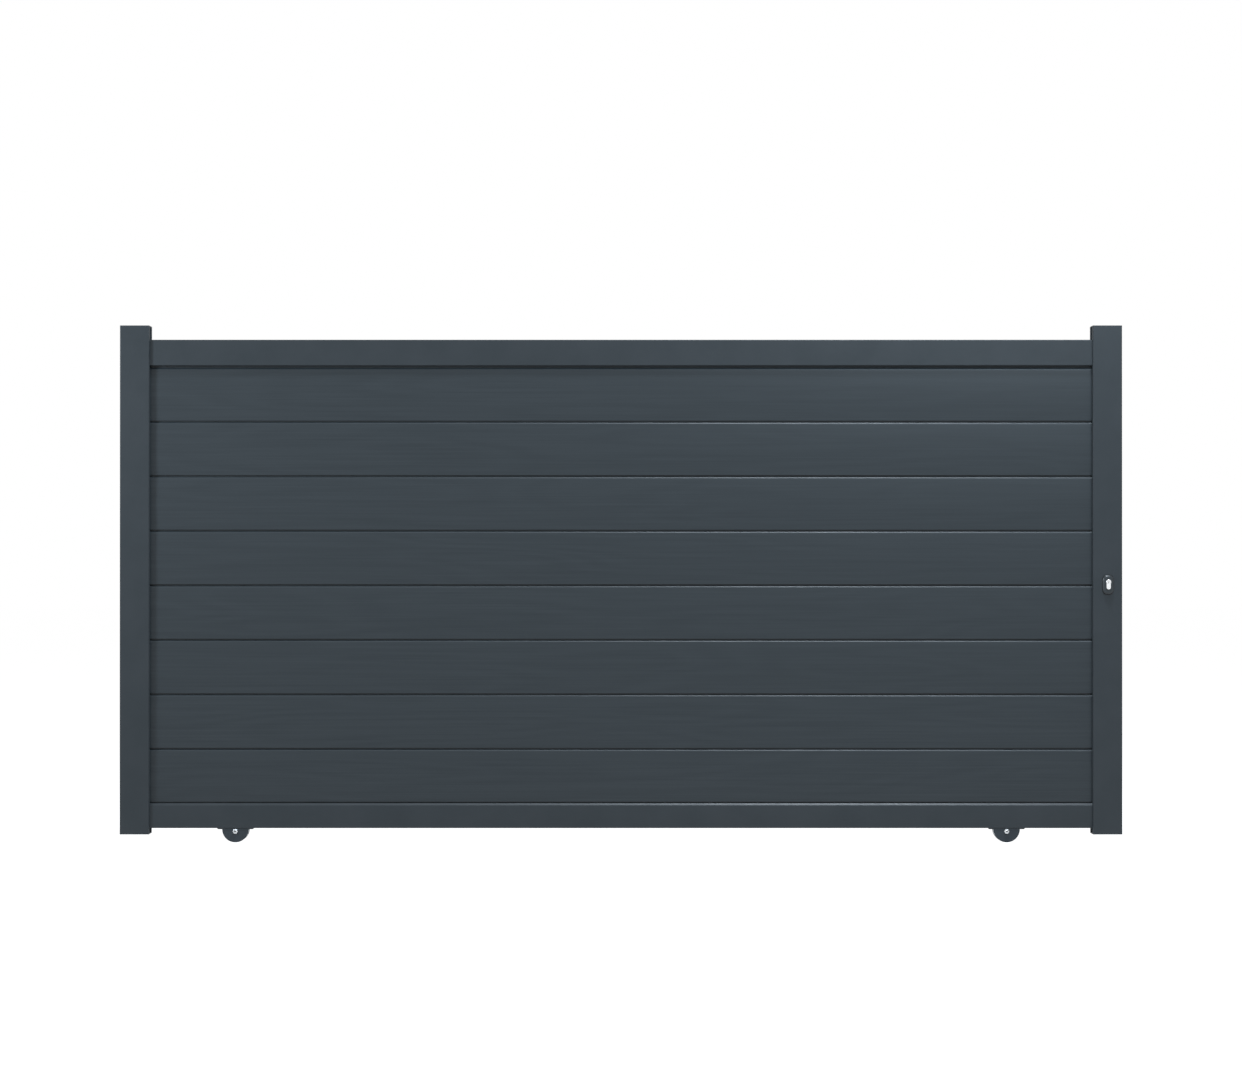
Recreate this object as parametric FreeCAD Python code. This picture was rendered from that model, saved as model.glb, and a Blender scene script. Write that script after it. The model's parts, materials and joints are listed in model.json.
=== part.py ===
import FreeCAD, Part
import math
import os

# Sliding driveway gate leaf, in millimetres.
# X runs along the leaf, Y through it from the street side to the yard side, Z up.
# The origin lies on the outer face of the lock stile, at mid depth, level with the underside
# of the bottom rail. The leaf runs from there towards minus X.

# Leaf
leaf_length = 3500.0
top_rail_gap = 4.6
stile_above_rail = 49.0
stile_below_rail = 21.0

# Stiles: hollow extrusions with a channel for the board ends
stile_width = 102.0
stile_depth = 80.0
stile_wall = 2.5
stile_corner = 3.0
channel_depth = 22.0
end_clearance = 4.0

# Stile caps
cap_plate = 3.0
cap_plug_depth = 14.0
cap_plug_wall = 2.0
cap_plug_clearance = 0.3

# Rails: hollow extrusions between the stiles
rail_height = 90.0
rail_depth = 50.0
rail_wall = 2.2
rail_corner = 2.5
seat_depth = 4.0
seat_clearance = 1.0

# Boards: hollow tongue-and-groove extrusions with crowned faces
board_count = 8
board_pitch = 190.8
board_thickness = 22.0
board_crown = 2.0
board_wall = 1.5
joint_gap = 3.0
nose_height = 5.0
groove_depth = 10.0
groove_lip = 2.4
tongue_clearance = 0.4
tongue_chamfer = 1.0
board_side_clearance = 0.5
web_count = 2

# Lock
lock_backset = 50.0
lock_height = 851.0
cylinder_height = 33.0
cylinder_round = 17.0
cylinder_leg = 10.0
cylinder_proud = 8.0
keyway_width = 2.4
keyway_height = 9.0
keyway_depth = 22.0
cylinder_clearance = 0.3
escutcheon_height = 65.5
escutcheon_width = 37.0
escutcheon_corner = 16.0
escutcheon_thickness = 12.0
escutcheon_bevel = 4.0
forend_length = 245.0
forend_width = 24.0
forend_thickness = 3.0
forend_clearance = 0.2
lock_cutout_clearance = 1.0
case_height = 165.0
case_depth = 70.0
case_thickness = 16.0
case_wall = 1.5
hook_pivot_back = 33.0
hook_pivot_above = 52.0
hook_reach = 31.0
hook_band = 11.0
hook_thickness = 8.0
hook_hub = 9.0
hook_sweep = 50.0
hook_pin = 8.0
hook_pin_clearance = 0.1
hook_slot_width = 11.0
hook_slot_height = 46.0

# Rollers
roller_from_end = 402.0
flange_length = 128.0
flange_thickness = 4.0
flange_bevel = 3.0
cheek_radius = 46.0
cheek_thickness = 3.0
fork_radius = 45.0
fork_sheet = 2.5
fork_bend = 4.0
fork_fit = 0.2
cutout_clearance = 1.0
axle_below_flange = 7.5
wheel_radius = 38.0
wheel_width = 22.0
wheel_side_clearance = 5.0
wheel_top_clearance = 5.0
rail_head = 16.0
wheel_groove_clearance = 0.7
wheel_groove_depth = 8.2
running_clearance = 0.05
axle_bolt = 10.0
axle_hole_clearance = 0.2
hexagon_across = 16.0
bolt_head_height = 6.4
nut_height = 5.5
bolt_end_proud = 4.0

# Places worked out from the sizes
V = FreeCAD.Vector
half_stile = stile_depth / 2
half_rail = rail_depth / 2
half_board = board_thickness / 2
leaf_middle = -leaf_length / 2
clear_right = -stile_width
clear_left = stile_width - leaf_length
stile_foot = -stile_below_rail
channel_half = half_board + board_crown + board_side_clearance
groove_half = half_board - groove_lip
tongue_half = groove_half - tongue_clearance
tongue_height = groove_depth + joint_gap
shoulder = board_pitch - joint_gap
face_height = shoulder - nose_height
first_board = rail_height - seat_depth + joint_gap
seat_half = half_board + board_crown + seat_clearance
last_shoulder = first_board + board_count * board_pitch - joint_gap
last_tongue_top = last_shoulder + tongue_height
top_rail_low = last_shoulder + top_rail_gap
stile_top = top_rail_low + rail_height + stile_above_rail
lock_x = -lock_backset
flange_under = -flange_thickness
axle_z = flange_under - axle_below_flange
fork_inner_half = wheel_width / 2 + wheel_side_clearance
fork_outer_half = fork_inner_half + fork_sheet
fork_top = axle_z + wheel_radius + wheel_top_clearance + fork_sheet
cheek_inner_half = fork_outer_half + fork_fit
cheek_outer_half = cheek_inner_half + cheek_thickness
roller_places = {"left": roller_from_end - leaf_length, "right": -roller_from_end}


def in_yz(y, z):
    return V(0, y, z)


def in_xz(x, z):
    return V(x, 0, z)


def in_xy(x, y):
    return V(x, y, 0)


def profile(place, start, *steps):
    """A flat face. Its outline runs from start through steps: a point is a line's end,
    and a pair of points is an arc's middle and end."""
    edges = []
    here = start
    for step in steps + (start,):
        if isinstance(step[0], tuple):
            middle, end = step
            edges.append(Part.Arc(place(*here), place(*middle), place(*end)).toShape())
            here = end
        elif step != here:
            edges.append(Part.LineSegment(place(*here), place(*step)).toShape())
            here = step
    return Part.Face(Part.Wire(edges))


def rectangle(place, low_u, high_u, low_v, high_v, corner=0.0):
    """A rectangle, with rounded corners where a corner radius is given."""
    if corner <= 0:
        return profile(place, (low_u, low_v), (high_u, low_v), (high_u, high_v), (low_u, high_v))
    inset = corner * (1 - math.sqrt(0.5))
    return profile(
        place,
        (low_u + corner, low_v),
        (high_u - corner, low_v),
        ((high_u - inset, low_v + inset), (high_u, low_v + corner)),
        (high_u, high_v - corner),
        ((high_u - inset, high_v - inset), (high_u - corner, high_v)),
        (low_u + corner, high_v),
        ((low_u + inset, high_v - inset), (low_u, high_v - corner)),
        (low_u, low_v + corner),
        ((low_u + inset, low_v + inset), (low_u + corner, low_v)),
    )


def along(face, start, length, direction):
    """The face carried to start along direction and extruded by length."""
    moved = face.copy()
    moved.translate(direction * start)
    return moved.extrude(direction * length)


def mirrored_to_left(shape):
    return shape.mirror(V(leaf_middle, 0, 0), V(1, 0, 0))


def mirrored_to_back(shape):
    return shape.mirror(V(0, 0, 0), V(0, 1, 0))


def stile_outline():
    return rectangle(in_xy, -stile_width, 0, -half_stile, half_stile, stile_corner)


def stile_chamber(inset):
    """The hollow of the lock stile, which bends round the channel for the board ends."""
    edge = stile_wall + inset
    room = rectangle(in_xy, edge - stile_width, -edge, edge - half_stile, half_stile - edge)
    behind = -stile_width + channel_depth + edge
    beside = channel_half + edge
    return room.cut(rectangle(in_xy, -stile_width, behind, -beside, beside))


def plain_stile():
    low = stile_foot + cap_plate
    length = stile_top - stile_foot - 2 * cap_plate
    channel = rectangle(
        in_xy, -stile_width, channel_depth - stile_width, -channel_half, channel_half
    )
    section = stile_outline().cut(stile_chamber(0)).cut(channel)
    return along(section.Faces[0], low, length, V(0, 0, 1))


def stile_cap():
    """The top cap of the lock stile: a plate over the profile and a thin-walled plug inside it."""
    plate = along(stile_outline(), stile_top - cap_plate, cap_plate, V(0, 0, 1))
    wall = stile_chamber(cap_plug_clearance).cut(
        stile_chamber(cap_plug_clearance + cap_plug_wall)
    )
    plug = along(wall, stile_top - cap_plate - cap_plug_depth, cap_plug_depth, V(0, 0, 1))
    return plate.fuse(plug).removeSplitter()


def foot_cap():
    middle = (stile_top + stile_foot) / 2
    return stile_cap().mirror(V(0, 0, middle), V(0, 0, 1))


def bottom_rail():
    """The bottom rail: a seat in its top holds the first board's foot on a hollow tongue."""
    seat_floor = rail_height - seat_depth
    tongue_top = seat_floor + tongue_height
    body = rectangle(in_yz, -half_rail, half_rail, 0, rail_height, rail_corner)
    body = body.cut(rectangle(in_yz, -seat_half, seat_half, seat_floor, rail_height))
    tongue = rectangle(in_yz, -tongue_half, tongue_half, seat_floor - rail_wall, tongue_top)
    inner = half_rail - rail_wall
    shoulder_inner = seat_half + rail_wall
    shoulder_top = rail_height - rail_wall
    room = rectangle(in_yz, -inner, inner, rail_wall, seat_floor - rail_wall)
    hollow_tongue = rectangle(
        in_yz,
        rail_wall - tongue_half,
        tongue_half - rail_wall,
        seat_floor - 2 * rail_wall,
        tongue_top - rail_wall,
    )
    section = body.fuse(tongue).cut(room).cut(hollow_tongue)
    for low, high in ((shoulder_inner, inner), (-inner, -shoulder_inner)):
        section = section.cut(rectangle(in_yz, low, high, rail_wall, shoulder_top))
    rail = along(section.removeSplitter().Faces[0], clear_left, clear_right - clear_left, V(1, 0, 0))
    half_length = fork_radius + cutout_clearance
    half_width = fork_outer_half + cutout_clearance
    for x in roller_places.values():
        window = rectangle(in_xy, x - half_length, x + half_length, -half_width, half_width)
        rail = rail.cut(along(window, -rail_wall, 3 * rail_wall, V(0, 0, 1)))
    return rail


def top_rail():
    """The top rail: a groove in its underside takes the last board's tongue."""
    low = top_rail_low
    high = low + rail_height
    body = rectangle(in_yz, -half_rail, half_rail, low, high, rail_corner)
    inner = half_rail - rail_wall
    room = rectangle(in_yz, -inner, inner, low + rail_wall, high - rail_wall)
    around = groove_half + rail_wall
    block = rectangle(in_yz, -around, around, low, last_tongue_top + rail_wall)
    groove = rectangle(in_yz, -groove_half, groove_half, low, last_tongue_top)
    section = body.cut(room.cut(block)).cut(groove)
    return along(section.Faces[0], clear_left, clear_right - clear_left, V(1, 0, 0))


def crown_at(z):
    """How far a board's face stands proud of its edges at a height above its foot."""
    radius = (face_height**2 / 4 + board_crown**2) / (2 * board_crown)
    return math.sqrt(radius**2 - (z - face_height / 2) ** 2) - radius + board_crown


def board_room(low, high):
    """One chamber of a board between two heights, with arcs that follow the crowned faces."""
    inner = half_board - board_wall
    middle = (low + high) / 2
    return profile(
        in_yz,
        (-inner - crown_at(low), low),
        ((-inner - crown_at(middle), middle), (-inner - crown_at(high), high)),
        (inner + crown_at(high), high),
        ((inner + crown_at(middle), middle), (inner + crown_at(low), low)),
    )


def crown_arcs(side, heights):
    """Arcs up or down a crowned face, from the first height through the others."""
    arcs = []
    for low, high in zip(heights, heights[1:]):
        middle = (low + high) / 2
        arcs.append(
            (
                (side * (half_board + crown_at(middle)), middle),
                (side * (half_board + crown_at(high)), high),
            )
        )
    return arcs


def board_section():
    """Outline of a board: crowned faces, rounded top edges, a tongue above and a groove below.
    Each crowned face is drawn from web to web."""
    low = groove_depth + board_wall
    room_pitch = (face_height - low) / (web_count + 1)
    webs = [low + index * room_pitch for index in range(1, web_count + 1)]
    heights = [0, *webs, face_height]
    nose_depth = half_board - tongue_half
    nose_radius = (nose_depth**2 + nose_height**2) / (2 * nose_depth)
    half_turn = math.asin(nose_height / nose_radius) / 2
    nose_y = half_board - nose_radius * (1 - math.cos(half_turn))
    nose_z = face_height + nose_radius * math.sin(half_turn)
    tip = shoulder + tongue_height
    outline = profile(
        in_yz,
        (-half_board, 0),
        *crown_arcs(-1, heights),
        ((-nose_y, nose_z), (-tongue_half, shoulder)),
        (-tongue_half, tip - tongue_chamfer),
        (tongue_chamfer - tongue_half, tip),
        (tongue_half - tongue_chamfer, tip),
        (tongue_half, tip - tongue_chamfer),
        (tongue_half, shoulder),
        ((nose_y, nose_z), (half_board, face_height)),
        *crown_arcs(1, heights[::-1]),
        (groove_half, 0),
        (groove_half, groove_depth),
        (-groove_half, groove_depth),
        (-groove_half, 0),
    )
    neck = tongue_half - board_wall
    under_nose = half_board - board_wall
    tongue_room = profile(
        in_yz,
        (-under_nose, face_height - board_wall),
        (-under_nose, face_height),
        (-neck, shoulder - board_wall),
        (-neck, tip - board_wall),
        (neck, tip - board_wall),
        (neck, shoulder - board_wall),
        (under_nose, face_height),
        (under_nose, face_height - board_wall),
    )
    half_web = board_wall / 2
    floors = [low] + [web + half_web for web in webs]
    ceilings = [web - half_web for web in webs] + [face_height - board_wall]
    rooms = [board_room(floor, ceiling) for floor, ceiling in zip(floors, ceilings)]
    rooms[-1] = rooms[-1].fuse(tongue_room)
    for room in rooms:
        outline = outline.cut(room)
    return outline.Faces[0]


def board(index):
    """A board whose ends stand in the stiles' channels, with room to grow with the heat."""
    housed = channel_depth - end_clearance
    low_x = clear_left - housed
    length = clear_right - clear_left + 2 * housed
    section = board_section()
    section.translate(V(0, 0, first_board + index * board_pitch))
    return along(section, low_x, length, V(1, 0, 0))


def cylinder_profile(clearance=0.0):
    """The standard profile of a lock cylinder: a round head over a narrower round-ended leg."""
    head = cylinder_round / 2 + clearance
    leg = cylinder_leg / 2 + clearance
    head_z = lock_height + cylinder_height / 2 - cylinder_round / 2
    leg_z = lock_height - cylinder_height / 2 + cylinder_leg / 2
    joint_z = head_z - math.sqrt(head**2 - leg**2)
    return profile(
        in_xz,
        (lock_x - leg, leg_z),
        ((lock_x, leg_z - leg), (lock_x + leg, leg_z)),
        (lock_x + leg, joint_z),
        ((lock_x, head_z + head), (lock_x - leg, joint_z)),
    )


def through_leaf(face, half_length):
    return along(face, -half_length, 2 * half_length, V(0, 1, 0))


def lock_cutout(half_length):
    """The square-cornered cut-out that the escutcheons hide."""
    half_width = cylinder_round / 2 + lock_cutout_clearance
    half_height = cylinder_height / 2 + lock_cutout_clearance
    return through_leaf(
        rectangle(
            in_xz,
            lock_x - half_width,
            lock_x + half_width,
            lock_height - half_height,
            lock_height + half_height,
        ),
        half_length,
    )


def disc(place, centre, radius):
    """A round face in the named plane."""
    normal = place(1, 0).cross(place(0, 1))
    return Part.Face(Part.Wire(Part.Circle(place(*centre), normal, radius).toShape()))


def lock_cylinder():
    """The lock cylinder, from one escutcheon to the other, with a keyway at each end."""
    half_length = half_stile + escutcheon_thickness + cylinder_proud
    head_z = lock_height + cylinder_height / 2 - cylinder_round / 2
    keyway = rectangle(
        in_xz,
        lock_x - keyway_width / 2,
        lock_x + keyway_width / 2,
        head_z - keyway_height / 2,
        head_z + keyway_height / 2,
    )
    keyway = along(keyway, -half_length, keyway_depth, V(0, 1, 0))
    return through_leaf(cylinder_profile(), half_length).cut(keyway).cut(mirrored_to_back(keyway))


def escutcheon():
    """The street side's cylinder guard: a solid bevelled plate with nearly round ends."""
    outline = rectangle(
        in_xz,
        lock_x - escutcheon_width / 2,
        lock_x + escutcheon_width / 2,
        lock_height - escutcheon_height / 2,
        lock_height + escutcheon_height / 2,
        escutcheon_corner,
    )
    front = -half_stile - escutcheon_thickness
    solid = along(outline, front, escutcheon_thickness, V(0, 1, 0))
    rim = [e for e in solid.Edges if e.BoundBox.YMax < front + escutcheon_bevel / 4]
    hole = along(cylinder_profile(cylinder_clearance), front, escutcheon_thickness, V(0, 1, 0))
    return solid.makeChamfer(escutcheon_bevel, rim).cut(hole)


def in_closing_face(y, z):
    return V(0, y, z)


def forend(thickness, clearance=0.0):
    """The forend plate's room in the closing face, cut in by thickness."""
    half_width = forend_width / 2 + clearance
    half_length = forend_length / 2 + clearance
    outline = rectangle(
        in_closing_face,
        -half_width,
        half_width,
        lock_height - half_length,
        lock_height + half_length,
    )
    return along(outline, -thickness, thickness, V(1, 0, 0))


def hook_centre():
    return -hook_pivot_back, lock_height + hook_pivot_above


def lock_case():
    """The mortice lock: a forend plate flush in the closing face and a sheet case behind it."""
    plate = forend(forend_thickness)
    half_case = case_thickness / 2
    low = lock_height - case_height / 2
    high = lock_height + case_height / 2
    outer = rectangle(in_xz, -case_depth, -forend_thickness, low, high)
    inner = rectangle(
        in_xz, case_wall - case_depth, -forend_thickness, low + case_wall, high - case_wall
    )
    case = through_leaf(outer, half_case).cut(through_leaf(inner, half_case - case_wall))
    slot = rectangle(
        in_closing_face,
        -hook_slot_width / 2,
        hook_slot_width / 2,
        hook_centre()[1] - hook_slot_height / 2,
        hook_centre()[1] + hook_slot_height / 2,
    )
    slot = along(slot, -forend_thickness, forend_thickness, V(1, 0, 0))
    pin = through_leaf(disc(in_xz, hook_centre(), hook_pin / 2), half_case)
    case = case.cut(lock_cutout(half_case))
    return plate.fuse(case).cut(slot).fuse(pin).removeSplitter()


def hook_bolt():
    """The hook bolt, swung back behind its slot in the forend."""
    x, z = hook_centre()
    half = hook_thickness / 2
    middle_radius = hook_reach - hook_band / 2
    sweep = math.radians(hook_sweep)

    def polar(radius, angle):
        return x + radius * math.cos(angle), z + radius * math.sin(angle)

    band = profile(
        in_xz,
        polar(hook_reach, -sweep),
        (polar(hook_reach, 0), polar(hook_reach, sweep / 2)),
        (polar(middle_radius, sweep / 2 + 0.2), polar(hook_reach - hook_band, sweep / 2)),
        (polar(hook_reach - hook_band, 0), polar(hook_reach - hook_band, -sweep)),
    )
    arm = rectangle(in_xz, x, x + middle_radius, z - hook_hub, z)
    hub = disc(in_xz, (x, z), hook_hub)
    solid = through_leaf(band.fuse(arm).fuse(hub).removeSplitter().Faces[0], half)
    return solid.cut(through_leaf(disc(in_xz, (x, z), hook_pin / 2 + hook_pin_clearance), half))


def lock_stile():
    """The right stile, cut for the lock cylinder and for the forend."""
    stile = plain_stile().cut(lock_cutout(half_stile))
    return stile.cut(forend(2 * stile_wall, forend_clearance))


def half_round(radius, top):
    """A plate face with a half-round lower end, centred on the underside of the flange."""
    return profile(
        in_xz,
        (-radius, flange_under),
        ((0, flange_under - radius), (radius, flange_under)),
        (radius, top),
        (-radius, top),
    )


def axle_hole(half_length):
    radius = axle_bolt / 2 + axle_hole_clearance
    return through_leaf(disc(in_xz, (0, axle_z), radius), half_length)


def roller_bracket():
    """The painted bracket: a flange under the rail, flush with two half-round cheeks."""
    half_length = flange_length / 2
    flange = profile(
        in_xz,
        (-half_length, 0),
        (half_length, 0),
        (half_length - flange_bevel, flange_under),
        (flange_bevel - half_length, flange_under),
    )
    solid = through_leaf(flange, cheek_outer_half)
    opening = rectangle(
        in_xy,
        -fork_radius - fork_fit,
        fork_radius + fork_fit,
        -cheek_inner_half,
        cheek_inner_half,
    )
    solid = solid.cut(along(opening, flange_under, flange_thickness, V(0, 0, 1)))
    cheek = half_round(cheek_radius, flange_under + flange_thickness / 2)
    near = along(cheek, cheek_inner_half, cheek_thickness, V(0, 1, 0))
    solid = solid.fuse(near).fuse(mirrored_to_back(near))
    return solid.cut(axle_hole(cheek_outer_half)).removeSplitter()


def roller_fork():
    """The zinc-plated fork, folded from one sheet: it lines the cheeks and closes over the wheel."""
    low = flange_under - fork_radius
    outside = rectangle(
        in_yz, -fork_outer_half, fork_outer_half, low - fork_bend, fork_top, fork_bend
    )
    inside = rectangle(
        in_yz,
        -fork_inner_half,
        fork_inner_half,
        low - fork_bend,
        fork_top - fork_sheet,
        fork_bend - fork_sheet,
    )
    folded = along(outside, -fork_radius, 2 * fork_radius, V(1, 0, 0))
    folded = folded.cut(along(inside, -fork_radius, 2 * fork_radius, V(1, 0, 0)))
    side = through_leaf(half_round(fork_radius, fork_top), fork_outer_half)
    return folded.common(side).cut(axle_hole(fork_outer_half))


def wheel():
    """The grooved wheel, turned round its axle in one piece with its sealed bearing.
    The groove takes the round head of a ground rail."""
    half = wheel_width / 2
    groove = rail_head / 2 + wheel_groove_clearance
    groove_floor = wheel_radius - wheel_groove_depth
    bore = axle_bolt / 2 + running_clearance
    section = profile(
        in_yz,
        (-half, bore),
        (-half, wheel_radius),
        (-groove, wheel_radius),
        (-groove, groove_floor),
        (groove, groove_floor),
        (groove, wheel_radius),
        (half, wheel_radius),
        (half, bore),
    )
    return section.revolve(V(0, 0, 0), V(0, 1, 0), 360)


def hexagon(start, height):
    """A hexagon prism round the axle, one corner up."""
    radius = hexagon_across / math.sqrt(3)
    corners = [
        (radius * math.sin(math.radians(60 * turn)), radius * math.cos(math.radians(60 * turn)))
        for turn in range(6)
    ]
    return along(profile(in_xz, *corners), start, height, V(0, 1, 0))


def axle_bolt_solid():
    """The axle bolt, its head on the yard side, its end standing out of the nut."""
    end = cheek_outer_half + nut_height + bolt_end_proud
    shank = disc(in_xz, (0, 0), axle_bolt / 2)
    shank = along(shank, -end, end + cheek_outer_half, V(0, 1, 0))
    return shank.fuse(hexagon(cheek_outer_half, bolt_head_height)).removeSplitter()


def axle_nut():
    """The nut on the street side of the axle bolt."""
    low = -cheek_outer_half - nut_height
    bore = along(disc(in_xz, (0, 0), axle_bolt / 2), low, nut_height, V(0, 1, 0))
    return hexagon(low, nut_height).cut(bore)


def at(shape, x, z=0.0):
    moved = shape.copy()
    moved.translate(V(x, 0, z))
    return moved


nodes = {
    "right_stile": lock_stile(),
    "left_stile": mirrored_to_left(plain_stile()),
    "right_stile_top_cap": stile_cap(),
    "right_stile_foot_cap": foot_cap(),
    "left_stile_top_cap": mirrored_to_left(stile_cap()),
    "left_stile_foot_cap": mirrored_to_left(foot_cap()),
    "top_rail": top_rail(),
    "bottom_rail": bottom_rail(),
    "lock_case": lock_case(),
    "hook_bolt": hook_bolt(),
    "lock_cylinder": lock_cylinder(),
    "front_escutcheon": escutcheon(),
    "back_escutcheon": mirrored_to_back(escutcheon()),
}
for index in range(board_count):
    nodes[f"board_{index + 1}"] = board(index)
for side, x in roller_places.items():
    nodes[f"{side}_roller_bracket"] = at(roller_bracket(), x)
    nodes[f"{side}_roller_fork"] = at(roller_fork(), x)
    nodes[f"{side}_wheel"] = at(wheel(), x, axle_z)
    nodes[f"{side}_axle_bolt"] = at(axle_bolt_solid(), x, axle_z)
    nodes[f"{side}_axle_nut"] = at(axle_nut(), x, axle_z)

os.makedirs("parts", exist_ok=True)
for name, shape in nodes.items():
    solids = shape.Solids
    whole = solids[0] if len(solids) == 1 else Part.makeCompound(solids)
    whole.exportStep(f"parts/{name}.step")
    box = whole.BoundBox
    print(
        f"{name}: {len(solids)} solid, {whole.Volume / 1000:.1f} cm3, valid {whole.isValid()}, "
        f"X {box.XMin:.1f} to {box.XMax:.1f}, Y {box.YMin:.1f} to {box.YMax:.1f}, "
        f"Z {box.ZMin:.1f} to {box.ZMax:.1f}"
    )
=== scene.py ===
# %% [markdown]
# # A sliding driveway gate leaf
# The real object is a welded-looking but screwed frame of powder-coated aluminium: two tall stiles, two
# rails, and eight wide boards that stand in each other by tongue and groove. It rolls on two grooved wheels
# under the bottom rail, and its right stile holds a lock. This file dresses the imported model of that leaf.
# It keeps the frame's solids where their shape is right, gives every surface a finish, and models anew what
# is rounder or finer than the solids are.

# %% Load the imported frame
import json
import math

import bmesh
import bpy
from mathutils import Matrix, Vector


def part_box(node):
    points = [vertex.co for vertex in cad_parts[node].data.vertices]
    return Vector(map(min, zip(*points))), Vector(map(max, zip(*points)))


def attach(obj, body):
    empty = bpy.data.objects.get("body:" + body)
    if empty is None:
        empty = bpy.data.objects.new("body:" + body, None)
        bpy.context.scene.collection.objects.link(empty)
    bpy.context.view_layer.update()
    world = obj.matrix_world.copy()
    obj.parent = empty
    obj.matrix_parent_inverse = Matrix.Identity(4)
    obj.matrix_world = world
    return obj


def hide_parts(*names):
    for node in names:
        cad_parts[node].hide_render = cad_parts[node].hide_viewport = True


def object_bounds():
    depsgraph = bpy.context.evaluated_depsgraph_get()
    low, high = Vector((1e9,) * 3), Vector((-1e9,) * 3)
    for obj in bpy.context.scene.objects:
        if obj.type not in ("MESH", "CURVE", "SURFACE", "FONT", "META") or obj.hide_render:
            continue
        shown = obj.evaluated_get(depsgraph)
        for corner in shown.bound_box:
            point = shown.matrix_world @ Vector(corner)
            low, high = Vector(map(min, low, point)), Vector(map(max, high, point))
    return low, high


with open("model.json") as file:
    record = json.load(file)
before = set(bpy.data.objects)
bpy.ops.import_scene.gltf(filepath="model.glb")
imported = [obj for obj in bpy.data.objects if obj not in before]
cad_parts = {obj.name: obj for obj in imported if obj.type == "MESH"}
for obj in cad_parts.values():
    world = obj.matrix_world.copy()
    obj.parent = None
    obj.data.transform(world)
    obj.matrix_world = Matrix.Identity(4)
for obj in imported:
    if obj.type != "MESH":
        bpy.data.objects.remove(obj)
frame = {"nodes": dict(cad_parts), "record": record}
cad_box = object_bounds()
nodes = frame["nodes"]


def add_object(name, data):
    """A new object in the scene for a mesh, a lamp or a camera."""
    made = bpy.data.objects.new(name, data)
    bpy.context.scene.collection.objects.link(made)
    return made


# %% [markdown]
# ## The camera first
# The picture was taken with a long lens, straight on, a little under a metre above the ground. Placing the
# camera first lets each later finish be judged where it is seen. The distance and the lens together give
# the size in the picture, so the distance is settled by how much of the stiles' inner sides shows.

# %% Camera at the picture's viewing angle
MM = 0.001
PICTURE_WIDTH = 1242
SENSOR_WIDTH = 36.0
PIXEL_AT_STILES = 3.4912 * MM
CAMERA_DISTANCE = 12.1
CAMERA_HEIGHT = 0.935
AIM_HEIGHT = 0.9857

stile_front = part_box("right_stile")[0].y
leaf_middle = (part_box("left_stile")[0].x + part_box("right_stile")[1].x) / 2
camera_data = bpy.data.cameras.new("camera")
camera_data.sensor_width = SENSOR_WIDTH
camera_data.lens = SENSOR_WIDTH * CAMERA_DISTANCE / (PICTURE_WIDTH * PIXEL_AT_STILES)
camera = add_object("camera", camera_data)
camera.location = (leaf_middle, stile_front - CAMERA_DISTANCE, CAMERA_HEIGHT)
tilt = math.atan2(AIM_HEIGHT - CAMERA_HEIGHT, CAMERA_DISTANCE)
camera.rotation_euler = (math.radians(90) + tilt, 0, 0)
bpy.context.scene.camera = camera
print("lens", round(camera_data.lens, 1), "mm, tilt", round(math.degrees(tilt), 2), "degrees")

# %% [markdown]
# ## A floor, a backdrop and soft light
# The picture has a plain white ground. The floor here is pale and matt and keeps the leaf's soft shadow.
# For the camera, and for reflections, the floor also glows, so that it reads as white paper. The world does
# the same behind it, while its share of the light on the leaf stays low. Three softboxes from the street
# side shade the leaf as the picture does, brightest at its upper right, and a fourth lights the yard side.

# %% One function turns a written colour into light values
def colour(hex_code):
    """An sRGB hex code as linear red, green and blue, and a full alpha."""
    parts = [int(hex_code[i:i + 2], 16) / 255 for i in (1, 3, 5)]
    linear = [c / 12.92 if c <= 0.04045 else ((c + 0.055) / 1.055) ** 2.4 for c in parts]
    return (*linear, 1.0)


print("anthracite grey is", [round(c, 3) for c in colour("#383E42")])

# %% One function adds a node, sets it and links it
def add_node(tree, kind, inputs=None, **settings):
    """Adds a shader node and sets its properties. Each input takes a value or another node's socket."""
    node = tree.nodes.new("ShaderNode" + kind)
    for key, value in settings.items():
        setattr(node, key, value)
    for key, value in (inputs or {}).items():
        if isinstance(value, bpy.types.NodeSocket):
            tree.links.new(value, node.inputs[key])
        else:
            node.inputs[key].default_value = value
    return node


def maths(tree, operation, *inputs):
    """The result of one maths node on numbers or sockets."""
    return add_node(tree, "Math", dict(enumerate(inputs)), operation=operation).outputs[0]


def new_material(name):
    """An empty material and its node tree."""
    material = bpy.data.materials.new(name)
    material.use_nodes = True
    material.node_tree.nodes.clear()
    return material, material.node_tree


# %% Rays that should see white paper
def sees_white(tree):
    """One for camera, glossy and transmission rays, nought for the rays that light the leaf."""
    path = add_node(tree, "LightPath").outputs
    some = maths(tree, "MAXIMUM", path["Is Camera Ray"], path["Is Glossy Ray"])
    return maths(tree, "MAXIMUM", some, path["Is Transmission Ray"])


# %% World
WORLD_LIGHT = 0.125
PAPER_WHITE = 1.0

world = bpy.data.worlds.new("studio")
bpy.context.scene.world = world
world.use_nodes = True
tree = world.node_tree
tree.nodes.clear()
soft = add_node(tree, "Background", {"Color": colour("#FFFFFF"), "Strength": WORLD_LIGHT})
paper = add_node(tree, "Background", {"Color": colour("#FFFFFF"), "Strength": PAPER_WHITE})
both = add_node(tree, "MixShader", {0: sees_white(tree), 1: soft.outputs[0], 2: paper.outputs[0]})
add_node(tree, "OutputWorld", {"Surface": both.outputs[0]})

# %% Floor
FLOOR_GAP = 0.3 * MM
FLOOR_REACH = 60.0
FLOOR_GLOW = 0.95

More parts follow.
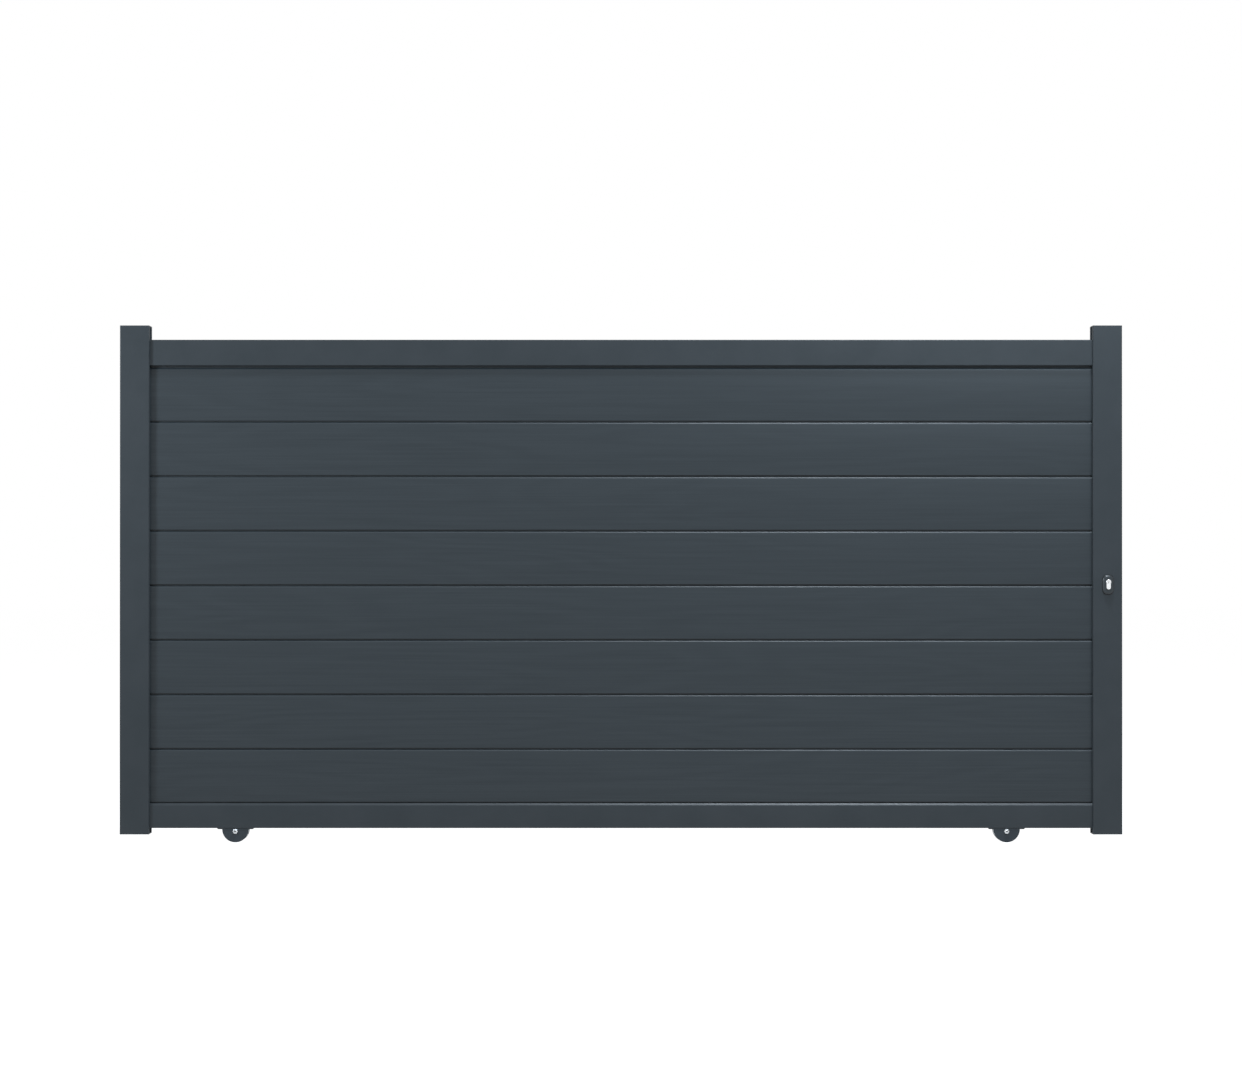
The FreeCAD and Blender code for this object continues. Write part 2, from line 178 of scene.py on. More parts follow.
floor_mesh = bpy.data.meshes.new("studio_floor")
bm = bmesh.new()
bmesh.ops.create_grid(bm, x_segments=1, y_segments=1, size=FLOOR_REACH)
lowest = cad_box[0][2]
bmesh.ops.translate(bm, verts=bm.verts, vec=(leaf_middle, 0, lowest - FLOOR_GAP))
bm.to_mesh(floor_mesh)
bm.free()
floor = add_object("studio_floor", floor_mesh)
paper_material, tree = new_material("matt_studio_paper")
matt = add_node(tree, "BsdfDiffuse", {"Color": colour("#A6A6A6")})
strength = maths(tree, "MULTIPLY", sees_white(tree), FLOOR_GLOW)
glow = add_node(tree, "Emission", {"Color": colour("#FFFFFF"), "Strength": strength})
lit = add_node(tree, "AddShader", {0: matt.outputs[0], 1: glow.outputs[0]})
add_node(tree, "OutputMaterial", {"Surface": lit.outputs[0]})
floor_mesh.materials.append(paper_material)
print("floor at", round((lowest - FLOOR_GAP) / MM, 1), "mm")

# %% Lights
def softbox(name, at, towards, size, power, tint="#FFFFFF", spread=180):
    """A large rectangular lamp that points from one place at another. A grid can narrow its spread."""
    data = bpy.data.lights.new(name, "AREA")
    data.color = colour(tint)[:3]
    data.shape = "RECTANGLE"
    data.size, data.size_y = size
    data.energy = power
    data.spread = math.radians(spread)
    lamp = add_object(name, data)
    lamp.location = at
    lamp.rotation_euler = (Vector(towards) - Vector(at)).to_track_quat("-Z", "Y").to_euler()


softbox("front_right", (0.15, -4.0, 3.4), (-0.4, 0, 1.7), (1.8, 0.6), 97, "#D9EEFF")
softbox("overhead_right", (-0.65, -1.8, 7.0), (-0.8, 0, 1.2), (1.6, 0.8), 270, "#EAF4FF")
softbox("side_left", (-5.2, -2.0, 1.9), (-2.6, 0, 1.5), (0.7, 0.9), 31, "#E6F3FF", spread=140)
softbox("behind", (-1.75, 3.2, 3.6), (-1.75, 0, 0.8), (4.0, 1.2), 50)

# %% [markdown]
# ## Powder-coated aluminium
# The frame's extrusions are sprayed with polyester powder and baked. Melted powder settles into a skin with
# very low, rounded waves about two millimetres apart, which people call orange peel, and it is satin: it
# spreads a lamp into a soft sheen. Under the skin is metal, but what the eye meets is the paint, so the
# shader isn't metallic. A slow change of tone, a hand's width across, stands for the uneven skin. Seen
# nearly edge on, a smooth coat would mirror the white paper, and this one stays dark, so it is rougher at a
# slant.

# %% Helpers for patterns, tones and relief
NOISE_LOW = 0.3
NOISE_HIGH = 0.7


def pattern(tree, spacing_mm, stretch=(1, 1, 1), detail=2.0, roughness=0.5, offset=(0, 0, 0), source=None):
    """Noise whose cells are about spacing_mm apart, stretched along the axes by the given factors."""
    if source is None:
        source = add_node(tree, "TexCoord").outputs["Object"]
    scale = [1 / MM / spacing_mm / s for s in stretch]
    mapping = add_node(tree, "Mapping", {"Vector": source, "Location": offset, "Scale": scale})
    return add_node(tree, "TexNoise", {"Vector": mapping.outputs[0], "Scale": 1.0, "Detail": detail,
                                       "Roughness": roughness}).outputs["Fac"]


def ranged(tree, value, low, high):
    """A pattern's middle range, where noise mostly stays, spread from low to high."""
    return add_node(tree, "MapRange", {"Value": value, "From Min": NOISE_LOW, "From Max": NOISE_HIGH,
                                       "To Min": low, "To Max": high}).outputs[0]


def toned(tree, value, dark, light):
    """A colour between two, by a pattern."""
    inputs = {0: ranged(tree, value, 0.0, 1.0), 6: colour(dark), 7: colour(light)}
    return add_node(tree, "Mix", inputs, data_type="RGBA").outputs[2]


def bumped(tree, height, depth_mm, strength=0.5, under=None):
    """Surface relief of the given depth from a height pattern, on top of another relief."""
    inputs = {"Height": height, "Strength": strength, "Distance": depth_mm * MM}
    if under is not None:
        inputs["Normal"] = under
    return add_node(tree, "Bump", inputs).outputs[0]


def surface(tree, tone, gloss, relief, **numbers):
    """The main shader and its output. Numbers that are the same all over are set on its sockets."""
    inputs = {"Base Color": tone, "Roughness": gloss, "Normal": relief}
    inputs.update({key.replace("_", " "): value for key, value in numbers.items()})
    shader = add_node(tree, "BsdfPrincipled", inputs)
    add_node(tree, "OutputMaterial", {"Surface": shader.outputs[0]})


# %% The satin powder coat of stiles and rails
COAT_DARK = "#32393D"
COAT_LIGHT = "#383E42"
COAT_ROUGHNESS = 0.36
ROUGHNESS_SPREAD = 0.03
COAT_SHINE = 0.32
SKIN_SPACING = 120
GRIT_SPACING = 14
PEEL_SPACING = 2.0
PEEL_DEPTH = 0.03
SLANT_START = 0.60
SLANT_END = 0.85
SLANT_ROUGHNESS = 0.90


def dulled(tree, roughness):
    """A roughness that rises where the surface is seen nearly edge on."""
    slant = add_node(tree, "LayerWeight", {"Blend": 0.5}).outputs["Facing"]
    return add_node(tree, "MapRange", {"Value": slant, "From Min": SLANT_START, "From Max": SLANT_END,
                                       "To Min": roughness, "To Max": SLANT_ROUGHNESS}).outputs[0]


def powder_coat(name, dark, light, roughness, peel_spacing=PEEL_SPACING, peel_depth=PEEL_DEPTH,
                shine=COAT_SHINE):
    """Baked polyester powder: satin, slightly waved, slightly uneven in tone."""
    material, tree = new_material(name)
    skin = pattern(tree, SKIN_SPACING, detail=3.0)
    peel = pattern(tree, peel_spacing, detail=1.0)
    grit = pattern(tree, GRIT_SPACING, detail=4.0, offset=(3, 1, 7))
    gloss = ranged(tree, grit, roughness - ROUGHNESS_SPREAD, roughness + ROUGHNESS_SPREAD)
    surface(tree, toned(tree, skin, dark, light), dulled(tree, gloss), bumped(tree, peel, peel_depth),
            Metallic=0.0, Specular_IOR_Level=shine)
    return material


coated_aluminium = powder_coat("powder_coated_aluminium", COAT_DARK, COAT_LIGHT, COAT_ROUGHNESS)
print("finish:", coated_aluminium.name)

# %% [markdown]
# ## Wood-grain embossed boards
# The boards carry the same grey, but their dies or rollers leave a shallow wood grain along them: fine
# streaks, and here and there the pointed arches of flat-sawn wood. The streaks could be drawn as lines, but
# real grain never repeats, so they are stretched noise. The arches are contour lines of a second, slower
# noise that is stretched the same way, as rings in a log are contours cut by a flat saw. Each board gets
# its own stretch of the pattern, by its number counted from the foot. Real streaks stand about two
# millimetres apart. They would be too fine to show here, so they are drawn coarser.

# %% The board finish
BOARD_PITCH = 190.8
FIRST_BOARD = 89.0
BOARD_SHIFT = 5.37
STREAK_SPACING = 5.5
STREAK_LENGTH = 90
ARCH_SPACING = 130
ARCH_LENGTH = 9
ARCHES = 9
ARCH_HEIGHT = 0.1
ARCH_MIDDLE = 0.5
ARCH_SHARE = 0.4
GRAIN_DEPTH = 0.35
GRAIN_DARK = "#2E3539"
GRAIN_LIGHT = "#3B4246"
GRAIN_ROUGH = 0.40
GRAIN_SMOOTH = 0.30


def board_coordinates(tree):
    """Object coordinates, shifted along X by a different length for each board."""
    place = add_node(tree, "TexCoord").outputs["Object"]
    axes = add_node(tree, "SeparateXYZ", {0: place}).outputs
    above = maths(tree, "SUBTRACT", axes["Z"], FIRST_BOARD * MM)
    number = maths(tree, "FLOOR", maths(tree, "DIVIDE", above, BOARD_PITCH * MM))
    slid = maths(tree, "MULTIPLY_ADD", number, BOARD_SHIFT, axes["X"])
    return add_node(tree, "CombineXYZ", {"X": slid, "Y": axes["Y"], "Z": axes["Z"]}).outputs[0]


grained_boards, tree = new_material("wood_grain_embossed_powder_coat")
along_board = board_coordinates(tree)
streaks = pattern(tree, STREAK_SPACING, stretch=(STREAK_LENGTH, 1, 1), detail=5.0, roughness=0.65,
                  source=along_board)
slow = pattern(tree, ARCH_SPACING, stretch=(ARCH_LENGTH, 1, 1), detail=1.0, source=along_board)
waves = maths(tree, "SINE", maths(tree, "MULTIPLY", slow, ARCHES * 2 * math.pi))
arches = maths(tree, "MULTIPLY_ADD", waves, ARCH_HEIGHT, ARCH_MIDDLE)
grain = add_node(tree, "Mix", {0: ARCH_SHARE, 2: streaks, 3: arches}, data_type="FLOAT").outputs[0]
peel = pattern(tree, PEEL_SPACING, detail=1.0)
surface(tree, toned(tree, grain, GRAIN_DARK, GRAIN_LIGHT), ranged(tree, grain, GRAIN_ROUGH, GRAIN_SMOOTH),
        bumped(tree, grain, GRAIN_DEPTH, strength=0.6, under=bumped(tree, peel, PEEL_DEPTH, strength=0.4)),
        Metallic=0.0, Specular_IOR_Level=COAT_SHINE)
print("grain streaks every", STREAK_SPACING, "mm")

# %% [markdown]
# ## The other finishes
# The escutcheons are cast zinc and the roller brackets pressed steel, both under the same powder. The
# casting is glossier and a shade darker, so its rim draws a thin highlight. The pressing is rougher and
# stays dull. The caps are moulded in polyamide of the same grey, and the spark-eroded mould leaves a matt
# grain on them.

# %% Coated castings and pressings, and moulded caps
CLOUD_SPACING = 40
SPARK_SPACING = 0.9
SPARK_DEPTH = 0.02

cast_zinc = powder_coat("powder_coated_cast_zinc", "#2A3135", "#30373B", roughness=0.3, peel_spacing=2.6,
                        peel_depth=0.04, shine=0.42)
pressed_steel = powder_coat("powder_coated_steel", "#33393E", "#3A4146", roughness=0.48)
moulded_caps, tree = new_material("moulded_polyamide")
cloud = pattern(tree, CLOUD_SPACING)
spark = pattern(tree, SPARK_SPACING, roughness=0.7)
surface(tree, toned(tree, cloud, "#30363A", "#363C41"), ranged(tree, spark, low=0.52, high=0.62),
        bumped(tree, spark, SPARK_DEPTH, strength=0.6), Specular_IOR_Level=0.4)
print("finishes:", cast_zinc.name, pressed_steel.name, moulded_caps.name)

# %% [markdown]
# ## Bright metals
# The wheels, forks, bolts and nuts are zinc-plated: bright, cool and a little cloudy. The lock's cylinder
# is brass under nickel, warmer and glossier, with the fine lines of turning round it. The bolts' centre
# holes and the keyways are painted nearly black, as painted shade inside these blind holes. The forend is
# stainless steel, brushed along its length, so a lamp draws across it. A brush leaves lines a tenth of this
# wide, which would be too fine to show.

# %% Plated metals, and the painted shade of blind holes
METAL_CLOUDS = 9


def bright_metal(name, dark, light, roughness, spread, lines_mm, depth_mm, stretch=(1, 1, 1)):
    """A metal with cloudy brightness and fine lines or grain."""
    material, tree = new_material(name)
    clouds = pattern(tree, METAL_CLOUDS, detail=4.0, roughness=0.6)
    lines = pattern(tree, lines_mm, stretch=stretch)
    surface(tree, toned(tree, clouds, dark, light),
            ranged(tree, clouds, roughness + spread, roughness - spread),
            bumped(tree, lines, depth_mm), Metallic=1.0)
    return material


zinc_plate = bright_metal("bright_zinc_plating", "#CDD1D4", "#E6E8EA", roughness=0.30, spread=0.05,
                          lines_mm=0.8, depth_mm=0.02)
nickel_plate = bright_metal("nickel_plated_brass", "#E4E6E8", "#F4F5F6", roughness=0.24, spread=0.04,
                            lines_mm=0.35, depth_mm=0.01, stretch=(1, 8, 1))
# Painted shade: a nearly black metal for the inside of the bolts' centre holes and the keyways, where shade
# falls.
painted_hole_shade = bright_metal("painted_shade_in_blind_holes", "#0C0D0E", "#161718", roughness=0.6, spread=0.05,
                          lines_mm=0.8, depth_mm=0.02)
print("metals:", zinc_plate.name, nickel_plate.name, painted_hole_shade.name)

# %% Brushed stainless steel
STROKE_SPACING = 0.5
STROKE_LENGTH = 80
STROKE_DEPTH = 0.015

brushed_steel, tree = new_material("brushed_stainless_steel")
strokes = pattern(tree, STROKE_SPACING, stretch=(1, 1, STROKE_LENGTH), detail=3.0)
surface(tree, toned(tree, strokes, "#A3A29F", "#C3C2BF"), ranged(tree, strokes, low=0.32, high=0.42),
        bumped(tree, strokes, STROKE_DEPTH), Metallic=1.0)
print("brush strokes every", STROKE_SPACING, "mm")

# %% [markdown]
# ## Rubber and nylon
# The bearings' seals are nitrile rubber, black and matt. The ring that locks each nut is undyed nylon, a
# warm white. A black nylon sheet behind each escutcheon is painted shade: its edge stands for the dark line
# of shadow round the escutcheon. All three have only the mould's fine grain.

# %% Moulded rubber and nylon
def moulded(name, dark, light, roughness, grain_mm, spread=0.05, depth_mm=0.02):
    """A plain moulded rubber or plastic with a fine matt grain."""
    material, tree = new_material(name)
    grain = pattern(tree, grain_mm, detail=3.0)
    surface(tree, toned(tree, grain, dark, light),
            ranged(tree, grain, roughness - spread, roughness + spread),
            bumped(tree, grain, depth_mm), Specular_IOR_Level=0.5)
    return material


nitrile_rubber = moulded("nitrile_rubber", "#161616", "#222223", roughness=0.6, grain_mm=1.2)
white_nylon = moulded("white_nylon", "#D9D6CC", "#E8E6DE", roughness=0.4, grain_mm=1.0)
# Black nylon for the sheet behind each escutcheon, which is painted shade: its edge stands for the shadow
# round the escutcheon.
painted_shadow_nylon = moulded("painted_shadow_nylon", "#0B0C0D", "#121415", roughness=0.75, grain_mm=1.0)
print("moulded:", nitrile_rubber.name, white_nylon.name, painted_shadow_nylon.name)

# %% Finishes for the solids that stay
finish_of = {
    "coated_aluminium": coated_aluminium,
    "cap_plastic": moulded_caps,
    "coated_zinc": cast_zinc,
    "coated_steel": pressed_steel,
    "zinc_plated_steel": zinc_plate,
    "bright_steel": brushed_steel,
    "nickel": nickel_plate,
}
slot_of = {part["node"]: part["material_slot"] for part in frame["record"]["subparts"]}
for name, solid in nodes.items():
    for held in solid.material_slots:
        held.material = finish_of[slot_of[name]]
print("dressed", len(slot_of), "solids in", len(finish_of), "finishes")

# %% [markdown]
# ## How a new piece is made
# Each new piece starts as an empty bmesh that operators fill and shape, at its own place in the leaf, so
# that the object itself stays at the origin as the solids do. When it is done, vertices that meet are
# merged, faces are turned outwards, and its gentle edges are shaded smooth.

# %% Finishing a piece
MERGE_DISTANCE = 0.002 * MM
TOUCH = 0.01 * MM
NEAR = 1e-6
EXACT = 1e-7


def make_piece(name, bm, slot, finish=None, stands_for=(), body="leaf", crease=30):
    """Turns a bmesh in metres into a shaded piece that rides on a body, in its slot's finish or another."""
    bmesh.ops.remove_doubles(bm, verts=bm.verts, dist=MERGE_DISTANCE)
    bmesh.ops.recalc_face_normals(bm, faces=bm.faces)
    mesh = bpy.data.meshes.new(name)
    bm.to_mesh(mesh)
    bm.free()
    for face in mesh.polygons:
        face.use_smooth = True
    mesh.set_sharp_from_angle(angle=math.radians(crease))
    mesh.materials.append(finish or finish_of[slot])
    piece = add_object(name, mesh)
    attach(piece, body)
    if stands_for:
        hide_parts(*stands_for)
    return piece


# %% Points, lines, arcs, lengths and eased edges
def mm(*values):
    """A point or vector given in millimetres."""
    return Vector(values) * MM


def swing(bm, vertex, centre, axis, degrees, steps):
    """An arc of edges that starts at a vertex. Returns its last vertex."""
    made = bmesh.ops.spin(bm, geom=[vertex], cent=centre, axis=axis, dvec=(0, 0, 0),
                          angle=math.radians(degrees), steps=steps, use_merge=False, use_duplicate=False)
    return [g for g in made["geom_last"] if isinstance(g, bmesh.types.BMVert)][0]


def extend(bm, vertex, *points):
    """Edges on from a vertex through more points. Returns the last vertex."""
    for point in points:
        new = bm.verts.new(point)
        bm.edges.new((vertex, new))
        vertex = new
    return vertex


def flipped(outline):
    """An outline's (y, other) points seen in a mirror at y nought, from last to first."""
    return [(-y, other) for y, other in reversed(outline)]


def push(bm, faces, vector):
    """Extrudes faces along a vector, and keeps the first ones."""
    far = bmesh.ops.extrude_face_region(bm, geom=faces, use_keep_orig=True)["geom"]
    bmesh.ops.translate(bm, verts=[g for g in far if isinstance(g, bmesh.types.BMVert)], vec=vector)


def long_edges(bm, places):
    """The edges along X that run through the given (y, z) places in millimetres, on either side."""
    return [e for e in bm.edges if abs(e.verts[0].co.x - e.verts[1].co.x) > MM
            and any(abs(abs(e.verts[0].co.y) - y * MM) < TOUCH and abs(e.verts[0].co.z - z * MM) < TOUCH
                    for y, z in places)]


def eased(bm, geom, offset, segments, affect="EDGES"):
    """Rounds edges, or the corners of a flat face, by an offset in millimetres."""
    bmesh.ops.bevel(bm, geom=geom, offset=offset * MM, affect=affect, segments=segments, profile=0.5,
                    material=-1)


# %% [markdown]
# ## The boards
# A real board is drawn through a die, so one outline serves its whole length: a face that swells two
# millimetres at mid height, a bevelled top edge that catches the light, and a tongue that stands in the
# next board's groove. Below each board's foot a shadow gap stays open, which draws the dark lines of the
# leaf. The outline's arcs are vertices swung round their centres. A mirror gives the yard side, and one
# extrusion gives the length. The solid's swelling is a few flats, and a satin surface shows flats as bands.
# The board is drawn as a closed bar, because the stiles hide its ends and the chambers inside.

# %% Board sizes, in millimetres
HALF_BOARD = 11.0
CROWN = 2.0
CROWN_TOP = 180.0
NOSE_TOP = 185.4
NOSE_BACK = 6.4
NOSE_SWEEP = 22.0
RELIEF_HALF = 2.2
TONGUE_HALF = 8.2
TONGUE_TIP = 200.8
TONGUE_CHAMFER = 1.0
GROOVE_HALF = 8.6
GROOVE_DEPTH = 10.0
CROWN_STEPS = 28
NOSE_STEPS = 4
NOSE_EASE = 0.7
FIRST_LIP = 2.0
BOARD_CREASE = 20

crown_radius = (CROWN_TOP**2 / 4 + CROWN**2) / (2 * CROWN)
crown_centre = mm(0, crown_radius - HALF_BOARD - CROWN, CROWN_TOP / 2)
nose_low = Vector((0, -HALF_BOARD, CROWN_TOP))
nose_high = Vector((0, -NOSE_BACK, NOSE_TOP))
nose_chord = nose_high - nose_low
half_sweep = math.radians(NOSE_SWEEP / 2)
inwards = Vector((0, nose_chord.z, -nose_chord.y)).normalized()
nose_centre = MM * ((nose_low + nose_high) / 2 + inwards * nose_chord.length / 2 / math.tan(half_sweep))
print("crown radius", round(crown_radius), "mm, bevel", round(nose_chord.length, 1), "mm wide")


# %% Board outline and length
def crown_angle(height):
    """The angle in degrees from the foot of the crown's circle to a height, seen from its centre."""
    return math.degrees(math.asin((height - CROWN_TOP / 2) / crown_radius))


def board_mesh(low_x, high_x, foot, lip):
    """One board between two ends. Its faces start a lip's height above its foot."""
    bm = bmesh.new()
    face_y = crown_centre.y / MM - math.sqrt(crown_radius**2 - (lip - CROWN_TOP / 2) ** 2)
    start = extend(bm, bm.verts.new(mm(0, 0, GROOVE_DEPTH)), mm(0, -GROOVE_HALF, GROOVE_DEPTH),
                   mm(0, -GROOVE_HALF, lip), mm(0, face_y, lip))
    top = swing(bm, start, crown_centre, (1, 0, 0), crown_angle(lip) - crown_angle(CROWN_TOP), CROWN_STEPS)
    neck = swing(bm, top, nose_centre, (1, 0, 0), -NOSE_SWEEP, NOSE_STEPS)
    extend(bm, neck, mm(0, -RELIEF_HALF, NOSE_TOP), mm(0, -RELIEF_HALF, BOARD_PITCH),
           mm(0, -TONGUE_HALF, BOARD_PITCH), mm(0, -TONGUE_HALF, TONGUE_TIP - TONGUE_CHAMFER),
           mm(0, TONGUE_CHAMFER - TONGUE_HALF, TONGUE_TIP), mm(0, 0, TONGUE_TIP))
    bmesh.ops.mirror(bm, geom=bm.verts[:] + bm.edges[:], axis="Y", merge_dist=TOUCH)
    bmesh.ops.remove_doubles(bm, verts=bm.verts, dist=TOUCH)
    outline = bmesh.ops.contextual_create(bm, geom=bm.edges[:])["faces"]
    push(bm, outline, (high_x - low_x, 0, 0))
    eased(bm, long_edges(bm, [(HALF_BOARD, CROWN_TOP)]), NOSE_EASE, 3)
    bmesh.ops.translate(bm, verts=bm.verts, vec=(low_x, 0, foot))
    return bm


board_names = sorted((n for n in nodes if n.startswith("board_")), key=lambda n: int(n.split("_")[1]))
for name in board_names:
    low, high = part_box(name)
    lip = FIRST_LIP if name == board_names[0] else 0.0
    piece = make_piece(name + "_embossed", board_mesh(low.x, high.x, low.z, lip), "coated_aluminium",
                       grained_boards, stands_for=[name], crease=BOARD_CREASE)
print("boards:", len(board_names), "faces each", len(piece.data.polygons))

# %% [markdown]
# ## The bottom rail
# The bottom rail is a hollow extrusion whose top edges are bevelled like the boards' edges, and a bright
# line of light runs along that bevel. Its underside has a window over each wheel. The solid has small round
# corners and a seat on top, so the rail is made anew: its outline with a hole in it is filled and extruded,
# and each window is cut by bisecting the bottom wall, deleting what lies inside, and bridging both rims.

# %% Rectangles, outlines, and filling them with holes left open
def corners(low_u, high_u, low_v, high_v):
    """A rectangle's four corners, in turn."""
    return [(low_u, low_v), (high_u, low_v), (high_u, high_v), (low_u, high_v)]


def loop(bm, *points):
    """A closed outline through the points. Returns its edges."""
    verts = [bm.verts.new(point) for point in points]
    return [bm.edges.new((a, b)) for a, b in zip(verts, verts[1:] + verts[:1])]


def fill(bm, edges):
    """Fills flat outlines, leaving the inner ones as holes. Returns the faces."""
    made = bmesh.ops.triangle_fill(bm, use_beauty=True, use_dissolve=False, edges=edges)["geom"]
    return [g for g in made if isinstance(g, bmesh.types.BMFace)]


# %% Bottom rail sizes, in millimetres
HALF_RAIL = 25.0
RAIL_SHOULDER = 86.5
RAIL_WALL = 2.2
RAIL_BEVEL_DEEP = 5.6
RAIL_BEVEL_TALL = 7.2
RAIL_BEVEL_EASE = 0.9
RAIL_CORNER = 1.2
RAIL_TONGUE_TOP = 98.8
WINDOW_HALF_LENGTH = 46.0
WINDOW_HALF_WIDTH = 19.5
BOTTOM_ZONE = 3.0
LEVEL = 0.99

# %% The rail's outline and length
low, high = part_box("bottom_rail")
bm = bmesh.new()
half = [(-RELIEF_HALF, RAIL_TONGUE_TOP), (-RELIEF_HALF, RAIL_SHOULDER),
        (RAIL_BEVEL_DEEP - HALF_RAIL, RAIL_SHOULDER), (-HALF_RAIL, RAIL_SHOULDER - RAIL_BEVEL_TALL),
        (-HALF_RAIL, 0)]
room_half = HALF_RAIL - RAIL_WALL
room = corners(-room_half, room_half, RAIL_WALL, RAIL_SHOULDER - RAIL_BEVEL_TALL - RAIL_WALL)
edges = []
for outline in (half + flipped(half), room):
    edges += loop(bm, *[mm(0, y, z) for y, z in outline])
push(bm, fill(bm, edges), (high.x - low.x, 0, 0))
bmesh.ops.translate(bm, verts=bm.verts, vec=(low.x, 0, 0))
eased(bm, long_edges(bm, [(HALF_RAIL, 0)]), RAIL_CORNER, 5)
eased(bm, long_edges(bm, [(HALF_RAIL, RAIL_SHOULDER - RAIL_BEVEL_TALL),
                          (HALF_RAIL - RAIL_BEVEL_DEEP, RAIL_SHOULDER)]), RAIL_BEVEL_EASE, 3)
print("rail faces before its windows:", len(bm.faces))


# %% The rail's windows
def bottom_wall(bm):
    """The faces of the bottom wall, outside and inside."""
    bm.normal_update()
    return [f for f in bm.faces
            if abs(f.normal.z) > LEVEL and f.calc_center_median().z < BOTTOM_ZONE * MM]


reach_x, reach_y = WINDOW_HALF_LENGTH * MM, WINDOW_HALF_WIDTH * MM
for side in ("left", "right"):
    middle = (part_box(side + "_roller_fork")[0].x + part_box(side + "_roller_fork")[1].x) / 2
    for place, normal in (((middle - reach_x, 0, 0), (1, 0, 0)), ((middle + reach_x, 0, 0), (1, 0, 0)),
                          ((0, -reach_y, 0), (0, 1, 0)), ((0, reach_y, 0), (0, 1, 0))):
        wall = bottom_wall(bm)
        around = wall + list({e for f in wall for e in f.edges}) + list({v for f in wall for v in f.verts})
        bmesh.ops.bisect_plane(bm, geom=around, dist=NEAR, plane_co=place, plane_no=normal)
    inside = [f for f in bottom_wall(bm) if abs(f.calc_center_median().x - middle) < reach_x
              and abs(f.calc_center_median().y) < reach_y]
    rims = [e for f in inside for e in f.edges
            if sum(1 for g in e.link_faces if g in inside) == 1]
    bmesh.ops.delete(bm, geom=inside, context="FACES")
    bmesh.ops.bridge_loops(bm, edges=[e for e in set(rims) if e.is_valid])
make_piece("bottom_rail_extrusion", bm, "coated_aluminium", stands_for=["bottom_rail"])
print("bottom rail from x", round(low.x, 3), "to", round(high.x, 3))

# %% [markdown]
# ## The wheels
# Each wheel is turned from a steel bar: a rim with a round groove for the ground rail, a shallow recess in
# each face that saves weight, and a bore that holds a sealed ball bearing. A half section is drawn beside
# the axle and spun right round. The solid has the groove's width and depth but a square floor, because a
# round one costs the motion checks many facets. Here the groove is the half circle it is on the real wheel.

# %% Turning a half section round the axle
TURNING_STEPS = 72


def turned(centre, *sections):
    """Half sections of (y, radius) in millimetres, spun round an axle along Y through the centre.

    A section that starts on the axle also ends there, and the others are closed.
    """
    bm = bmesh.new()
    for section in sections:
        start = last = bm.verts.new(centre + mm(0, *section[0]))
        for step in section[1:]:
            if len(step) == 2:
                last = extend(bm, last, centre + mm(0, *step))
            else:
                y, radius, degrees, steps = step
                last = swing(bm, last, centre + mm(0, y, radius), (1, 0, 0), degrees, steps)
        if section[0][1] > 0:
            bm.edges.new((last, start))
    bmesh.ops.spin(bm, geom=bm.verts[:] + bm.edges[:], cent=centre, axis=(0, 1, 0), dvec=(0, 0, 0),
                   angle=2 * math.pi, steps=TURNING_STEPS, use_merge=True, use_duplicate=False)
    return bm


# %% Wheel sizes, in millimetres
WHEEL_HALF = 11.0
WHEEL_RADIUS = 38.0
GROOVE_RADIUS = 8.2
GROOVE_LEAD = 0.6
RIM_EASE = 0.8
RIM_INNER = 32.5
RECESS_OUTER = 31.0
RECESS_INNER = 22.0
HUB_RADIUS = 20.5
RECESS_DEPTH = 1.8
BEARING_SEAT = 16.0
SEAT_EASE = 0.7
GROOVE_STEPS = 18


def wheel_section():
    """The wheel's half section: bore, face, rim, half of the groove, and back by the other side."""
    face = WHEEL_HALF
    left = [(SEAT_EASE - face, BEARING_SEAT), (-face, BEARING_SEAT + SEAT_EASE), (-face, HUB_RADIUS),
            (RECESS_DEPTH - face, RECESS_INNER), (RECESS_DEPTH - face, RECESS_OUTER), (-face, RIM_INNER),
            (-face, WHEEL_RADIUS - RIM_EASE), (RIM_EASE - face, WHEEL_RADIUS),
            (-GROOVE_RADIUS - GROOVE_LEAD, WHEEL_RADIUS), (-GROOVE_RADIUS, WHEEL_RADIUS - GROOVE_LEAD)]
    groove = [(0, WHEEL_RADIUS - GROOVE_LEAD, 180, GROOVE_STEPS)]
    return left + groove + flipped(left)[1:]


axles = {side: (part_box(side + "_wheel")[0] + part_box(side + "_wheel")[1]) / 2 for side in ("left", "right")}
for side, centre in axles.items():
    piece = make_piece(side + "_wheel_turned", turned(centre, wheel_section()), "zinc_plated_steel",
                       stands_for=[side + "_wheel"], body=side + "_wheel_body")
print("wheel faces:", len(piece.data.polygons), "axle height", round(centre.z / MM, 1), "mm")

# %% [markdown]
# ## Bearings and axles
# The bearing's outer ring and its two rubber seals turn with the wheel, while the inner ring and the spacer
# tubes stay on the axle, so they ride on different bodies and keep a hair's breadth between them. The solid
# has wheel and bearing in one. All of them are round, so they too are half sections spun round the axle.

# %% Bearing and spacers
RING_HALF = 8.5
OUTER_RING_INNER = 13.6
RING_EASE = 0.5
SEAL_HALF = 8.0
SEAL_THICK = 1.2
SEAL_INNER = 8.3
SEAL_DISH = 0.5
DISH_OUTER = 12.2
DISH_INNER = 9.6
SLEEVE_OUTER = 8.0
SLEEVE_INNER = 5.15
SPACER_OUTER = 7.4
FORK_GAP = 16.0

